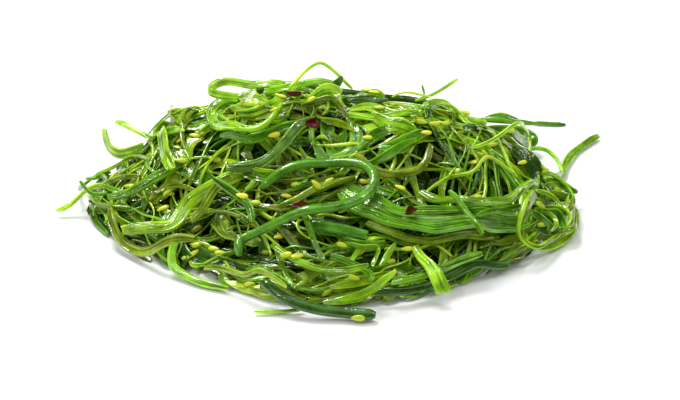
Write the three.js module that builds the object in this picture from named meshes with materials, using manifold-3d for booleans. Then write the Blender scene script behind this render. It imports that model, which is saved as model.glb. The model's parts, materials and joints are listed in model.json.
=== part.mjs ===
// A heap of dressed wakame, as served for a salad: a tangle of shredded seaweed, the strips that
// lie on top of it or stray from it, and a few flakes of dried chili.
// Millimetres, +Z up. The origin is on the table, under the middle of the whole heap.
// Every strip is laid in turn over whatever already lies there, so it bends over the strips below,
// hangs across the hollows between them and never passes through one.

import * as THREE from "three";
import { mergeVertices } from "three/addons/utils/BufferGeometryUtils.js";
import Module from "manifold-3d";

const wasm = await Module();
wasm.setup();

// Driving dimensions of the tangle: the radius of its footprint every 30 degrees from +X, the
// height of its low rim, and the humps that stand on it.
const FOOTPRINT_RADII = [64, 62, 53, 53, 55, 63, 65, 55, 49, 53, 54, 57];
const RIM_HEIGHT = 7;
const HUMPS = [
  { x: -13, y: 7, along: 20, across: 25, rise: 18 },
  { x: -37, y: 14, along: 13, across: 15, rise: 11 },
  { x: 22, y: 10, along: 26, across: 22, rise: 15 },
  { x: 43, y: 10, along: 13, across: 20, rise: 7 },
  { x: 6, y: -28, along: 30, across: 14, rise: 3.5 },
  { x: -50, y: -6, along: 18, across: 16, rise: 3.5 },
];

// Kinds of strip: width and thickness, how much of its width it keeps at the ends, and its colour.
const BRIGHT = "#6fa81f";
const GREEN = "#3f7d1c";
const DARK = "#24541b";
const OLIVE = "#5d7a22";
const LIME = "#9fcc3a";
const STEM = { width: 3, thickness: 2.6, ends: 0.8, round: true, sag: 0.01, colour: "#2f7f22" };
const STRAP = { width: 3, thickness: 1.3, ends: 0.85, colour: BRIGHT };
const BLADE = { width: 3, thickness: 1.1, ends: 0.45, colour: GREEN };
const BAND = { width: 2.4, thickness: 1.3, ends: 0.75, colour: OLIVE };
const STRAND = { width: 1.7, thickness: 1.1, ends: 0.75, colour: BRIGHT };
const THREAD = { width: 1.1, thickness: 0.9, ends: 0.7, colour: LIME };

// The strips that can be told apart, lowest first. A route is a list of [x, y] or [x, y, lift],
// where lift is how far the strip stands up above what lies under it. Its two ends rest on what is
// below them, unless they have lifts of their own.
const STRIPS = [
  // On the table, round the rim of the heap
  {
    name: "left_stray_stick", kind: STRAND, width: 1.5, colour: LIME,
    route: [[-72, -4], [-67, -2], [-59, 1]],
  },
  {
    name: "front_left_curl", kind: STRAP, width: 2.3, colour: LIME,
    route: [[-38, -28], [-40, -34], [-36, -38], [-32, -41], [-25, -44]],
  },
  { name: "front_stray_stick", kind: THREAD, route: [[-18, -55], [-12, -55], [-6, -54]] },
  {
    name: "front_stem", kind: STEM, colour: DARK,
    route: [[-16, -48], [-11, -53], [-5, -56], [3, -57], [12, -58]],
  },
  {
    name: "left_rim_band", kind: BAND,
    route: [[-57, -12], [-55, -20], [-48, -28], [-41, -32], [-34, -31]],
  },
  {
    name: "right_rim_strand", kind: STRAND, width: 1.9,
    route: [[52, -27], [58, -23], [62, -18], [65, -11], [66, -2]],
  },
  {
    name: "right_stray_strip", kind: STRAP, width: 2.2,
    route: [[57, 2], [63, 16], [67, 29], [72, 37], [76, 42]],
  },
  {
    name: "right_lime_arch", kind: THREAD, width: 1.7,
    route: [[53, 14], [55, 18], [59, 20, 2], [62, 18, 2], [63, 13]],
  },
  {
    name: "back_right_fold", kind: BLADE, width: 3.6,
    route: [[43, 29], [49, 34, 1.5], [54, 37, 3], [57, 34, 3], [54, 28, 1], [47, 20]],
  },
  {
    name: "back_right_stick", kind: STRAND, width: 1.9, sag: 0, colour: GREEN,
    route: [[40, 23], [51, 29, 1], [66, 36, 6]],
  },
  {
    name: "front_dark_band", kind: BAND, colour: DARK,
    route: [[12, -50], [22, -48], [31, -42], [39, -37], [46, -34]],
  },
  {
    name: "front_green_band", kind: BAND, colour: GREEN,
    route: [[16, -49], [22, -47], [30, -42], [39, -37]],
  },
  {
    name: "front_low_leaf", kind: BLADE, colour: BRIGHT,
    route: [[-1, -53], [7, -52], [12, -51], [17, -49]],
  },
  {
    name: "front_left_strand", kind: STRAND, colour: OLIVE,
    route: [[-31, -38], [-24, -43], [-17, -48], [-10, -53]],
  },
  // Behind the heap
  { name: "back_low_band", kind: BAND, route: [[-46, 37], [-30, 43], [-12, 48], [6, 50], [20, 47]] },
  { name: "back_green_strap", kind: STRAP, route: [[44, 40], [32, 34], [18, 36], [4, 31], [-10, 34]] },
  { name: "back_left_blade", kind: BLADE, width: 3.4, route: [[-50, 26], [-38, 30], [-26, 38], [-16, 37]] },
  {
    name: "back_curl", kind: STRAP, width: 2.4, colour: LIME,
    route: [[-2, 40], [-14, 42], [-20, 33], [-14, 26], [-4, 28]],
  },
  {
    name: "back_dark_stem", kind: STEM, width: 2.4, thickness: 2, colour: DARK,
    route: [[34, 27], [22, 31], [10, 27], [-4, 26], [-18, 29], [-30, 26]],
  },
  // The right-hand bundle
  { name: "lower_rim_band", kind: BAND, route: [[10, -33], [17, -35], [26, -34], [34, -33], [42, -29]] },
  {
    name: "broad_ribbed_band", kind: STRAP, width: 9, thickness: 1.4, colour: GREEN,
    route: [[4, -19], [9, -25], [15, -30], [22, -31], [30, -31], [40, -27], [50, -19]],
  },
  { name: "right_glossy_leaf", kind: BLADE, width: 2.8, route: [[38, -31], [44, -24], [51, -16]] },
  {
    name: "right_clear_sheet", kind: STRAP, width: 3.4, thickness: 0.9, colour: OLIVE,
    route: [[54, -10], [52, -17], [49, -25]],
  },
  {
    name: "right_bottom_loop", kind: STRAND,
    route: [[53, -16], [50, -24], [49, -30], [53, -30], [58, -23], [63, -14]],
  },
  {
    name: "right_side_loop", kind: STRAND, width: 1.5,
    route: [[57, 1], [62, 4], [65, 2], [65, -4], [61, -8]],
  },
  {
    name: "right_hook", kind: BAND, width: 2.5, colour: BRIGHT,
    route: [[24, -17], [31, -24], [37, -27], [43, -25], [49, -20], [53, -14], [55, -4]],
  },
  { name: "right_short_strip", kind: STRAND, colour: GREEN, route: [[31, -26], [35, -31], [39, -36]] },
  // The front face
  { name: "short_bright_stem", kind: STEM, route: [[-4, -34], [3, -35], [10, -37]] },
  {
    name: "front_folded_strip", kind: BAND, width: 2.2, colour: GREEN,
    route: [[1, -41], [6, -43], [10, -46], [11, -52]],
  },
  {
    name: "front_cross_strip", kind: BAND, width: 2, colour: BRIGHT,
    route: [[-14, -37], [-9, -42], [-3, -45], [4, -46], [10, -49]],
  },
  {
    name: "front_short_leaf", kind: BLADE, width: 2.6, colour: BRIGHT,
    route: [[13, -44], [15, -41], [17, -38]],
  },
  {
    name: "front_flat_strip", kind: STRAP, width: 3, colour: LIME,
    route: [[22, -37], [24, -42], [26, -46], [29, -50]],
  },
  {
    name: "front_hanging_strand", kind: STRAND, colour: GREEN,
    route: [[-6, -31], [-5, -36], [-3, -40], [-1, -45]],
  },
  // The left-hand bundle
  {
    name: "left_diagonal_band", kind: STRAP, colour: GREEN,
    route: [[-58, -7], [-51, -7], [-45, -6], [-38, -4]],
  },
  {
    name: "left_wide_strap", kind: STRAP, width: 3.8,
    route: [[-21, -14], [-28, -18], [-34, -16], [-37, -18], [-40, -24], [-47, -22], [-53, -22]],
  },
  {
    name: "left_tongue", kind: STRAP, width: 2.5, colour: OLIVE,
    route: [[-25, -19], [-30, -22], [-35, -25]],
  },
  {
    name: "left_bent_strip", kind: BAND, colour: GREEN,
    route: [[-29, -22], [-24, -25], [-20, -28], [-19, -32]],
  },
  {
    name: "left_hanging_leaf", kind: STRAP, width: 3.9, thickness: 1,
    route: [[-45, 15], [-44, 7], [-43, 0], [-41, -8]],
  },
  {
    name: "left_raised_ribbon", kind: STRAP, width: 3.2, thickness: 0.9, colour: LIME,
    route: [[-50, 15], [-54, 16], [-58, 18, 2], [-60, 20, 6], [-61, 21, 12]],
  },
  {
    name: "left_raised_stick", kind: STRAND, width: 1.9, colour: LIME,
    route: [[-49, 15], [-53, 18, 3], [-57, 22, 11]],
  },
  {
    name: "left_thin_loop", kind: THREAD, colour: GREEN,
    route: [[-59, 13], [-64, 15], [-67, 10], [-66, 2], [-64, -4], [-58, -4]],
  },
  // The crown
  {
    name: "under_coil_leaf", kind: BLADE, width: 3.4,
    route: [[-28, -2], [-22, -7], [-16, -7], [-10, -4], [-5, 0]],
  },
  {
    name: "crown_coil", kind: STRAP, width: 3.2,
    route: [[-24, 15], [-28, 15], [-31, 12], [-30, 5], [-26, -3], [-20, -8], [-15, -6], [-12, 3]],
  },
  {
    name: "crown_top_loop", kind: STRAND, width: 2.3, colour: LIME,
    route: [[-12, 15], [-18, 15, 1], [-24, 15, 3], [-29, 15, 3], [-32, 14, 1], [-30, 13], [-24, 13]],
  },
  { name: "crown_dark_blade", kind: BLADE, width: 4, colour: DARK, route: [[4, 11], [9, 13], [16, 13]] },
  {
    name: "crown_long_strip", kind: STRAND, width: 2.2,
    route: [[-17, 10], [-12, 12], [-7, 12, 1], [-3, 13, 2], [2, 13, 2]],
  },
  {
    name: "crown_thin_loop", kind: THREAD, width: 1,
    route: [[-8, 11], [-6, 13], [-3, 14, 2.5], [0, 14, 2], [4, 12]],
  },
  {
    name: "crown_right_blade", kind: BLADE, width: 2.8, colour: BRIGHT,
    route: [[4, 4], [11, 5], [18, 5], [25, 2]],
  },
  { name: "broad_flat_blade", kind: BLADE, width: 3.8, route: [[11, -11], [17, -7], [23, -3]] },
  {
    name: "right_top_strip", kind: STRAND, width: 2, colour: LIME,
    route: [[25, 6], [30, 12], [37, 19], [43, 21]],
  },
  {
    name: "right_top_thread", kind: THREAD, width: 1,
    route: [[24, 12], [28, 14, 1], [31, 15, 2], [34, 15, 6]],
  },
  {
    name: "u_shaped_band", kind: BAND, width: 2.6,
    route: [[8, -10], [10, -13], [14, -15], [20, -13], [25, -8], [27, -2]],
  },
  {
    name: "ribbed_strap", kind: STRAP, width: 3.1, colour: DARK,
    route: [[-4, -2], [-7, -5], [-11, -10], [-15, -13], [-20, -16], [-26, -16]],
  },
  {
    name: "inner_ribbed_band", kind: BAND, width: 2.3,
    route: [[7, -16], [4, -18], [-1, -20], [-6, -23], [-11, -25]],
  },
  {
    name: "curled_stem", kind: STEM,
    route: [
      [-22, -40], [-23, -37], [-20, -35], [-12, -35], [-5, -35], [3, -32], [9, -28], [12, -23],
      [11, -18], [6, -15], [-2, -14], [-8, -16], [-13, -18], [-17, -20],
    ],
  },
];

// Chili flakes: their size, where each one lies, and which way it points in degrees.
const FLAKE = { length: 4.2, width: 2.2, thickness: 0.8, points: 7, colour: "#5c1015" };
const FLAKES = [
  { name: "chili_flake_crown", x: -9, y: 8, turn: 20 },
  { name: "chili_flake_middle", x: -4, y: -8, turn: -10 },
  { name: "chili_flake_front", x: -7, y: -29, turn: 35 },
  { name: "chili_flake_right", x: 21, y: -31, turn: 50 },
];

// The short strips that make up the tangle's own skin and can't be told apart.
const SKIN = { strips: 42, width: 4.2, thickness: 2.4, longest: 46, shortest: 26, sunk: 1.7, spacing: 8 };

// How strips lie
const STEP = 1; // spacing of the points that a strip is laid by
const CLEARANCE = 0.5; // left between a strip and what it lies on
const SAG = 0.05; // how much a free stretch drops in each step, from its own weight
const STEEPEST_BANK = 0.9; // a strip leans sideways with the slope up to this gradient
const RING_SPACING = 4.5;
const SETTLING_ROUNDS = 1500;

// How finely the tangle's form is faceted
const FORM_RINGS = 7;
const FORM_SECTORS = 28;

// The heights of everything laid so far, on a square grid.
const CELL = 0.5;
const HALF_WIDTH = 90;
const HALF_DEPTH = 75;
const COLUMNS = Math.round((2 * HALF_WIDTH) / CELL);
const ROWS = Math.round((2 * HALF_DEPTH) / CELL);
const heights = new Float32Array(COLUMNS * ROWS);

const columnOf = (x) => Math.round((x + HALF_WIDTH) / CELL);
const rowOf = (y) => Math.round((y + HALF_DEPTH) / CELL);

// The highest cell next to a point, so that a strip clears an edge that ends between two cells.
function heightAt(x, y) {
  let highest = 0;
  for (let row = rowOf(y) - 1; row <= rowOf(y) + 1; row++)
    for (let column = columnOf(x) - 1; column <= columnOf(x) + 1; column++)
      highest = Math.max(highest, heights[row * COLUMNS + column] || 0);
  return highest;
}

// Raises the grid to the top of a solid, one triangle after another.
function coverGrid(geometry) {
  const position = geometry.getAttribute("position");
  const index = geometry.index;
  const corners = [new THREE.Vector3(), new THREE.Vector3(), new THREE.Vector3()];
  const triangle = new THREE.Triangle();
  const at = new THREE.Vector3();
  for (let face = 0; face < index.count; face += 3) {
    corners.forEach((corner, i) => corner.fromBufferAttribute(position, index.getX(face + i)));
    triangle.set(...corners);
    const flat = new THREE.Triangle(...corners.map((c) => new THREE.Vector3(c.x, c.y, 0)));
    if (flat.getArea() < 1e-6) continue;
    const xs = corners.map((c) => c.x);
    const ys = corners.map((c) => c.y);
    for (let row = rowOf(Math.min(...ys)); row <= rowOf(Math.max(...ys)); row++)
      for (let column = columnOf(Math.min(...xs)); column <= columnOf(Math.max(...xs)); column++) {
        at.set(column * CELL - HALF_WIDTH, row * CELL - HALF_DEPTH, 0);
        const share = flat.getBarycoord(at, new THREE.Vector3());
        if (Math.min(share.x, share.y, share.z) < -0.01) continue;
        const z = share.x * corners[0].z + share.y * corners[1].z + share.z * corners[2].z;
        const cell = row * COLUMNS + column;
        heights[cell] = Math.max(heights[cell], z);
      }
  }
}

// Always gives the same run of numbers from 0 to 1.
let seed = 7;
function random() {
  seed = (seed * 16807) % 2147483647;
  return seed / 2147483647;
}

function footprintRadius(angle) {
  const n = FOOTPRINT_RADII.length;
  const place = ((angle / (2 * Math.PI)) * n + n) % n;
  const i = Math.floor(place);
  const t = place - i;
  const [a, b, c, d] = [-1, 0, 1, 2].map((k) => FOOTPRINT_RADII[(i + k + n) % n]);
  return b + 0.5 * t * (c - a + t * (2 * a - 5 * b + 4 * c - d + t * (3 * (b - c) + d - a)));
}

// The height of the tangle's form, which falls steeply at its edge like any loose heap.
function formHeight(x, y) {
  const reach = Math.hypot(x, y) / footprintRadius(Math.atan2(y, x));
  if (reach >= 1) return 0;
  const hump = ({ x: hx, y: hy, along, across, rise }) =>
    rise * Math.exp(-(((x - hx) / along) ** 2) - ((y - hy) / across) ** 2);
  const humps = HUMPS.reduce((sum, h) => sum + hump(h), 0);
  return RIM_HEIGHT * (1 - reach ** 3) ** 0.6 + humps * (1 - reach ** 4) ** 0.7;
}

// The form as one closed solid with a flat underside.
function formGeometry() {
  const positions = [0, 0, formHeight(0, 0)];
  for (let ring = 1; ring <= FORM_RINGS; ring++) {
    const reach = Math.sin(((ring / FORM_RINGS) * Math.PI) / 2);
    for (let sector = 0; sector < FORM_SECTORS; sector++) {
      const angle = ((sector + (ring % 2) / 2) / FORM_SECTORS) * 2 * Math.PI;
      const r = reach * footprintRadius(angle);
      const [x, y] = [r * Math.cos(angle), r * Math.sin(angle)];
      positions.push(x, y, ring === FORM_RINGS ? 0 : formHeight(x, y));
    }
  }
  const foot = positions.length / 3;
  positions.push(0, 0, 0);
  const index = [];
  const vertex = (ring, sector) => 1 + (ring - 1) * FORM_SECTORS + (sector % FORM_SECTORS);
  for (let sector = 0; sector < FORM_SECTORS; sector++) {
    index.push(0, vertex(1, sector), vertex(1, sector + 1));
    index.push(foot, vertex(FORM_RINGS, sector + 1), vertex(FORM_RINGS, sector));
    for (let ring = 1; ring < FORM_RINGS; ring++) {
      const [a, b] = [vertex(ring, sector), vertex(ring, sector + 1)];
      const [c, d] = [vertex(ring + 1, sector), vertex(ring + 1, sector + 1)];
      if (ring % 2) index.push(a, c, d, a, d, b);
      else index.push(a, c, b, b, c, d);
    }
  }
  return new THREE.BufferGeometry()
    .setAttribute("position", new THREE.Float32BufferAttribute(positions, 3))
    .setIndex(index);
}

function smoothed(values, rounds) {
  let now = values.slice();
  for (let round = 0; round < rounds; round++)
    now = now.map((v, i) => (now[Math.max(i - 1, 0)] + 2 * v + now[Math.min(i + 1, now.length - 1)]) / 4);
  return now;
}

// Lays a strip along its route and gives the points of its centreline, with the gradient at which
// it leans sideways at each of them and the lowest that the centreline may pass there.
function settle({ route, width, thickness, clearance = CLEARANCE, sag = SAG }) {
  const curve = new THREE.CatmullRomCurve3(
    route.map(([x, y, lift = 0]) => new THREE.Vector3(x, y, lift)),
    false,
    "centripetal",
  );
  const points = curve.getSpacedPoints(Math.ceil(curve.getLength() / STEP));
  const sides = points.map((p, i) => {
    const before = points[Math.max(i - 1, 0)];
    const after = points[Math.min(i + 1, points.length - 1)];
    return new THREE.Vector3(before.y - after.y, after.x - before.x, 0).normalize();
  });
  const half = width / 2;
  const groundAt = (i, across) => {
    const beside = points[i].clone().addScaledVector(sides[i], across);
    return heightAt(beside.x, beside.y);
  };
  const lean = (i) => (groundAt(i, half) - groundAt(i, -half)) / width;
  const banks = smoothed(points.map((p, i) => lean(i)), 12).map((g) =>
    THREE.MathUtils.clamp(g, -STEEPEST_BANK, STEEPEST_BANK),
  );
  const floor = points.map((p, i) => {
    const upright = Math.sqrt(1 + banks[i] ** 2);
    const overhang = half / upright;
    const under = [-1, -0.6, -0.3, 0, 0.3, 0.6, 1].map(
      (share) => groundAt(i, share * overhang) - share * overhang * banks[i],
    );
    const raised = Math.max(...under) + (thickness / 2 + clearance) * upright + p.z;
    return Math.max(raised, (thickness / 2) * upright + Math.abs(banks[i]) * overhang);
  });
  let z = floor.slice();
  const last = z.length - 1;
  for (let round = 0; round < SETTLING_ROUNDS; round++)
    for (let i = 1; i < last; i++) z[i] = Math.max(floor[i], (z[i - 1] + z[i + 1]) / 2 - sag);
  for (let round = 0; round < 6; round++) z = smoothed(z, 2).map((v, i) => Math.max(v, floor[i]));
  z = smoothed(z, 1);
  return points.map((p, i) => ({
    at: new THREE.Vector3(p.x, p.y, z[i]),
    side: sides[i],
    bank: banks[i],
    lowest: floor[i],
  }));
}

// Picks the places of a strip's rings along its centreline, and raises them until the straight
// stretches between them clear what lies below as well.
function ringPlaces(line, spacing) {
  const last = line.length - 1;
  const count = Math.max(4, Math.round((last * STEP) / spacing));
  const picks = Array.from({ length: count + 1 }, (_, ring) => Math.round((ring / count) * last));
  const z = picks.map((i) => line[i].at.z);
  for (let round = 0; round < 4; round++)
    for (let ring = 0; ring < count; ring++)
      for (let i = picks[ring]; i <= picks[ring + 1]; i++) {
        const t = (i - picks[ring]) / (picks[ring + 1] - picks[ring]);
        const short = line[i].lowest - THREE.MathUtils.lerp(z[ring], z[ring + 1], t);
        z[ring] += Math.max(short, 0);
        z[ring + 1] += Math.max(short, 0);
      }
  return picks.map((i, ring) => ({ ...line[i], at: line[i].at.clone().setZ(z[ring]) }));
}

// The outline of a strip's cut end, in halves of its width and thickness.
const FLAT_SECTION = [[-1, -1], [1, -1], [1, 1], [-1, 1]];
const ROUND_SECTION = [[-1, 0], [-0.5, -0.87], [0.5, -0.87], [1, 0], [0.5, 0.87], [-0.5, 0.87]];

// The solid of a strip: one ring of its section every few millimetres, closed at both ends.
function stripGeometry({ width, thickness, ends, round = false, spacing = RING_SPACING, ...rest }) {
  const places = ringPlaces(settle({ width, thickness, ...rest }), spacing);
  const rings = places.length - 1;
  const section = round ? ROUND_SECTION : FLAT_SECTION;
  const positions = [];
  places.forEach(({ at, side, bank }, ring) => {
    const ahead = places[Math.min(ring + 1, rings)].at;
    const behind = places[Math.max(ring - 1, 0)].at;
    const along = ahead.clone().sub(behind).normalize();
    const across = new THREE.Vector3(side.x, side.y, bank);
    across.addScaledVector(along, -across.dot(along)).normalize();
    const up = along.clone().cross(across);
    const fromEnd = Math.min(ring, rings - ring);
    const kept = fromEnd === 0 ? ends : fromEnd === 1 ? (1 + ends) / 2 : 1;
    for (const [u, v] of section) {
      const corner = at
        .clone()
        .addScaledVector(across, (u * kept * width) / 2)
        .addScaledVector(up, (v * thickness) / 2);
      positions.push(corner.x, corner.y, Math.max(corner.z, 0));
    }
  });
  const n = section.length;
  const index = [];
  for (let ring = 0; ring < rings; ring++)
    for (let i = 0; i < n; i++) {
      const [a, b] = [ring * n + i, ring * n + ((i + 1) % n)];
      index.push(a, b, a + n, b, b + n, a + n);
    }
  const far = rings * n;
  for (let i = 1; i < n - 1; i++) index.push(0, i + 1, i, far, far + i, far + i + 1);
  return new THREE.BufferGeometry()
    .setAttribute("position", new THREE.Float32BufferAttribute(positions, 3))
    .setIndex(index);
}

// A flake of chili: an irregular flat chip with bevelled edges, resting on what is under it.
function flakeGeometry({ x, y, turn }) {
  const { length, width, thickness, points } = FLAKE;
  const outline = Array.from({ length: points }, (_, i) => {
    const angle = (i / points) * 2 * Math.PI;
    const reach = 0.82 + 0.18 * random();
    return new THREE.Vector2((Math.cos(angle) * length * reach) / 2, (Math.sin(angle) * width * reach) / 2);
  });
  const geometry = new THREE.ExtrudeGeometry(new THREE.Shape(outline), {
    depth: thickness,
    bevelEnabled: false,
  });
  geometry.deleteAttribute("normal");
  geometry.deleteAttribute("uv");
  geometry.rotateZ(THREE.MathUtils.degToRad(turn));
  let under = 0;
  const reach = length / 2;
  for (let dx = -reach; dx <= reach; dx += CELL)
    for (let dy = -reach; dy <= reach; dy += CELL) under = Math.max(under, heightAt(x + dx, y + dy));
  return mergeVertices(geometry.translate(x, y, under + CLEARANCE), 1e-3);
}

function solidOf(geometry) {
  const mesh = new wasm.Mesh({
    numProp: 3,
    vertProperties: geometry.getAttribute("position").array,
    triVerts: new Uint32Array(geometry.index.array),
  });
  return new wasm.Manifold(mesh);
}

// The outer shell of a solid, without the sealed pockets that joining leaves inside it.
function geometryOf(solid) {
  const [outer] = solid.decompose().sort((a, b) => b.volume() - a.volume());
  const { vertProperties, triVerts } = outer.getMesh();
  return new THREE.BufferGeometry()
    .setAttribute("position", new THREE.BufferAttribute(vertProperties, 3))
    .setIndex(new THREE.BufferAttribute(triVerts, 1));
}

// A short arc that bends round the heap, for a strip in the tangle's skin.
function skinRoute(number) {
  const { strips, longest, shortest } = SKIN;
  const goldenTurn = Math.PI * (3 - Math.sqrt(5));
  const angle = number * goldenTurn;
  const reach = 0.97 * Math.sqrt((number + 0.5) / strips);
  const r = reach * footprintRadius(angle);
  const length = shortest + (longest - shortest) * random();
  const heading = angle + Math.PI / 2 + (random() - 0.5) * 1.6;
  const bend = (random() - 0.5) * 1.2 + 0.5;
  const points = [];
  for (const t of [-0.5, -0.17, 0.17, 0.5]) {
    const turned = heading + bend * t;
    const x = r * Math.cos(angle) + length * t * Math.cos(turned);
    const y = r * Math.sin(angle) + length * t * Math.sin(turned);
    const limit = footprintRadius(Math.atan2(y, x)) - SKIN.width / 2;
    const kept = Math.min(1, limit / Math.hypot(x, y));
    points.push([x * kept, y * kept]);
  }
  return points;
}

// The tangle: its form, with the strips of its skin grown into it.
function tangleGeometry() {
  const form = formGeometry();
  coverGrid(form);
  let tangle = solidOf(form);
  const { strips, width, thickness, sunk, spacing } = SKIN;
  for (let number = 0; number < strips; number++) {
    const route = skinRoute(number);
    const strip = stripGeometry({ route, width, thickness, spacing, ends: 0.6, clearance: -sunk });
    coverGrid(strip);
    tangle = tangle.add(solidOf(strip));
  }
  return geometryOf(tangle);
}

function meshOf(name, geometry, colour, roughness) {
  geometry.computeVertexNormals();
  const finish = { color: colour, roughness, metalness: 0, flatShading: true };
  const material = new THREE.MeshStandardMaterial(finish);
  const mesh = new THREE.Mesh(geometry, material);
  mesh.name = name;
  return mesh;
}

const heap = new THREE.Group();
heap.name = "wakame_heap";
heap.add(meshOf("strip_tangle", tangleGeometry(), DARK, 0.35));
for (const { name, kind, ...own } of STRIPS) {
  const strip = { ...kind, ...own };
  const geometry = stripGeometry(strip);
  coverGrid(geometry);
  heap.add(meshOf(name, geometry, strip.colour, 0.3));
}
for (const { name, ...place } of FLAKES) {
  const geometry = flakeGeometry(place);
  coverGrid(geometry);
  heap.add(meshOf(name, geometry, FLAKE.colour, 0.45));
}

const middle = new THREE.Box3().setFromObject(heap).getCenter(new THREE.Vector3());
heap.position.set(-middle.x, -middle.y, 0);

export default heap;
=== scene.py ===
# %% [markdown]
# # A heap of dressed wakame
#
# Wakame salad is seaweed that was boiled until it turned bright green, shredded along its ribs into
# strips a few millimetres wide, and dressed with oil, sesame seeds and chili. On a table it slumps
# into a low heap. What the eye reads is not one surface but hundreds of wet strips: lit lime edges,
# deep green bodies, black gaps between them, and small broken streaks of light on the dressing.
#
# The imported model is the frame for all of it: one solid for the tangle, one for each strip that can
# be told apart, and one for each chili flake. Nothing of it is moved. Each strip's solid says where
# that strip runs, and the tangle's solid says how high the heap of nameless strips is.

# %% Load the frame
import json
import math

import bmesh
import bpy
import numpy as np
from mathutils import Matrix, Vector
from mathutils.bvhtree import BVHTree


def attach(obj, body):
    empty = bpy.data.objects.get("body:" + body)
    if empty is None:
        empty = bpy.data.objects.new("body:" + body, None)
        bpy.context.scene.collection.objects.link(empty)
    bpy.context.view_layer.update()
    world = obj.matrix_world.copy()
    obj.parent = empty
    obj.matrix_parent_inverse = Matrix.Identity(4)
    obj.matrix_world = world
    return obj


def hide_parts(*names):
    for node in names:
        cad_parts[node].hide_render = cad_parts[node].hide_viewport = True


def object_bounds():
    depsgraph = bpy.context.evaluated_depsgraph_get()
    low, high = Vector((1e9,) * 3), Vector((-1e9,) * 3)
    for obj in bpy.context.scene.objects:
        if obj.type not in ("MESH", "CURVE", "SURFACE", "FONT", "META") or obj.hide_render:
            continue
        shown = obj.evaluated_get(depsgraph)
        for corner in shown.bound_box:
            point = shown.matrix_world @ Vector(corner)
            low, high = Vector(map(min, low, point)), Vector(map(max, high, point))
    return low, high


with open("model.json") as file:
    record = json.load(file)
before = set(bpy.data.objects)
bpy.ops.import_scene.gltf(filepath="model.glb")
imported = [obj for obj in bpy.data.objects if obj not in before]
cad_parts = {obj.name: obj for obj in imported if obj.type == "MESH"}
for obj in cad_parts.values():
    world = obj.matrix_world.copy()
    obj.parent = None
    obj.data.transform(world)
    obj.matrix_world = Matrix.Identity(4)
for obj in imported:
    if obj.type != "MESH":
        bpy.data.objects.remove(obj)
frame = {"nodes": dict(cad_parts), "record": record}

MM = 0.001
cad_low, cad_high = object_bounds()
slot_of = {part["node"]: part["material_slot"] for part in frame["record"]["subparts"]}
print("CAD box, mm:", [round(side / MM, 1) for side in cad_high - cad_low])

# %% [markdown]
# ## Camera, floor and light
#
# Food on a white table is photographed with a long lens from a seat's height, here 28 degrees above
# the table. A long lens keeps the strips at the back nearly as wide as those in front. The image is
# 680 pixels wide, and the same numbers later turn a pixel into a ray, to put a seed where it shows.

# %% The camera
IMAGE_SIZE = (680, 400)
CAMERA_ELEVATION = math.radians(28)
CAMERA_DISTANCE = 0.65
FRAME_WIDTH = 0.1813
LOOK_AT = Vector((0.001, 0.0031, 0.003))
SENSOR_WIDTH = 36

camera_back = Vector((0, -math.cos(CAMERA_ELEVATION), math.sin(CAMERA_ELEVATION)))
camera_place = LOOK_AT + camera_back * CAMERA_DISTANCE
bpy.ops.object.camera_add(location=camera_place)
camera = bpy.context.object
camera.rotation_euler = (-camera_back).to_track_quat("-Z", "Y").to_euler()
camera.data.sensor_width = SENSOR_WIDTH
camera.data.lens = SENSOR_WIDTH * CAMERA_DISTANCE / FRAME_WIDTH
bpy.context.scene.camera = camera
print("lens, mm:", round(camera.data.lens, 1))


def pixels_in(pairs):
    """Pixels as numbers, from words such as 215,159."""
    return [tuple(int(number) for number in pair.split(",")) for pair in pairs]


def pixel_ray(across, down):
    """Where the camera stands and which way it looks through a pixel of the 680 by 400 image."""
    step = FRAME_WIDTH / CAMERA_DISTANCE / IMAGE_SIZE[0]
    view_up = Vector((0, math.sin(CAMERA_ELEVATION), math.cos(CAMERA_ELEVATION)))
    ray = -camera_back
    ray = ray + Vector((1, 0, 0)) * (across - IMAGE_SIZE[0] / 2) * step
    ray = ray - view_up * (down - IMAGE_SIZE[1] / 2) * step
    return camera_place, ray.normalized()


# %% [markdown]
# A white table lit until it is nearly blown out gives a shadow only where the heap touches it. Most
# of the light comes from behind: it shines through the thin strips and draws bright streaks on the
# wet ones. A big soft light overhead and the white surroundings fill the shade, and two small lights
# to the sides put sharp points on the film of oil.

# %% Helpers for colour and nodes
def linear(hex_colour, alpha=1.0):
    """An sRGB hex colour as the linear values that a shader takes."""
    channels = [int(hex_colour[i:i + 2], 16) / 255 for i in (1, 3, 5)]
    low = [c / 12.92 if c <= 0.04045 else ((c + 0.055) / 1.055) ** 2.4 for c in channels]
    return (*low, alpha)


def new_material(name):
    """A material with no nodes yet."""
    material = bpy.data.materials.new(name)
    material.use_nodes = True
    material.node_tree.nodes.clear()
    return material


def add(tree, kind, settings=None, **inputs):
    """Adds a node. An input, by its name or by its number as _6, is a value or another's output."""
    node = tree.nodes.new("ShaderNode" + kind)
    for key, value in (settings or {}).items():
        setattr(node, key, value)
    for key, value in inputs.items():
        socket = node.inputs[int(key[1:]) if key[0] == "_" else key.replace("_", " ")]
        if isinstance(value, bpy.types.NodeSocket):
            tree.links.new(value, socket)
        else:
            socket.default_value = value
    return node


# %% Floor
FLOOR_SIZE = 6.0
bpy.ops.object.select_all(action="DESELECT")
bpy.ops.mesh.primitive_plane_add(size=FLOOR_SIZE)
floor = bpy.context.object
floor.name = "floor"
white = new_material("matt_white_table")
shader = add(white.node_tree, "BsdfPrincipled", Base_Color=linear("#f7f7f7"), Roughness=0.6)
add(white.node_tree, "OutputMaterial", Surface=shader.outputs["BSDF"])
floor.data.materials.append(white)

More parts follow.
